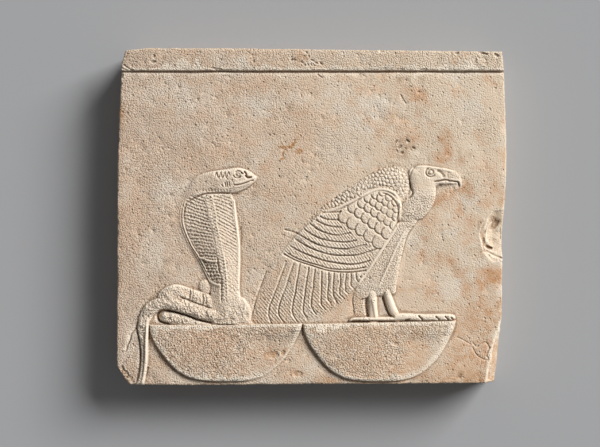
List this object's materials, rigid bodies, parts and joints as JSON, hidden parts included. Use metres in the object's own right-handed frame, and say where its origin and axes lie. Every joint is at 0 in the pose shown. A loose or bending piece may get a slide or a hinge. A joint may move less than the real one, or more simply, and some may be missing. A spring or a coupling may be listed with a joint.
{
  "type": "carved relief plaque",
  "caption": "A pale limestone relief plaque: a rearing cobra and a standing vulture, each on a basket, under a raised band; flat back, broken right edge",
  "frame": {"origin": "middle of the flat back; the plaque lies on its back, face up", "axes": "+X to the right across the face, +Y towards the edge with the raised band, +Z out of the carved face"},
  "size_m": [0.1562, 0.135, 0.0229],
  "materials": {
    "limestone": "dry matt carved limestone with ochre stains and paler fresh breaks"
  },
  "bodies": {
    "root": {"plaque": "limestone"}
  },
  "joints": []
}
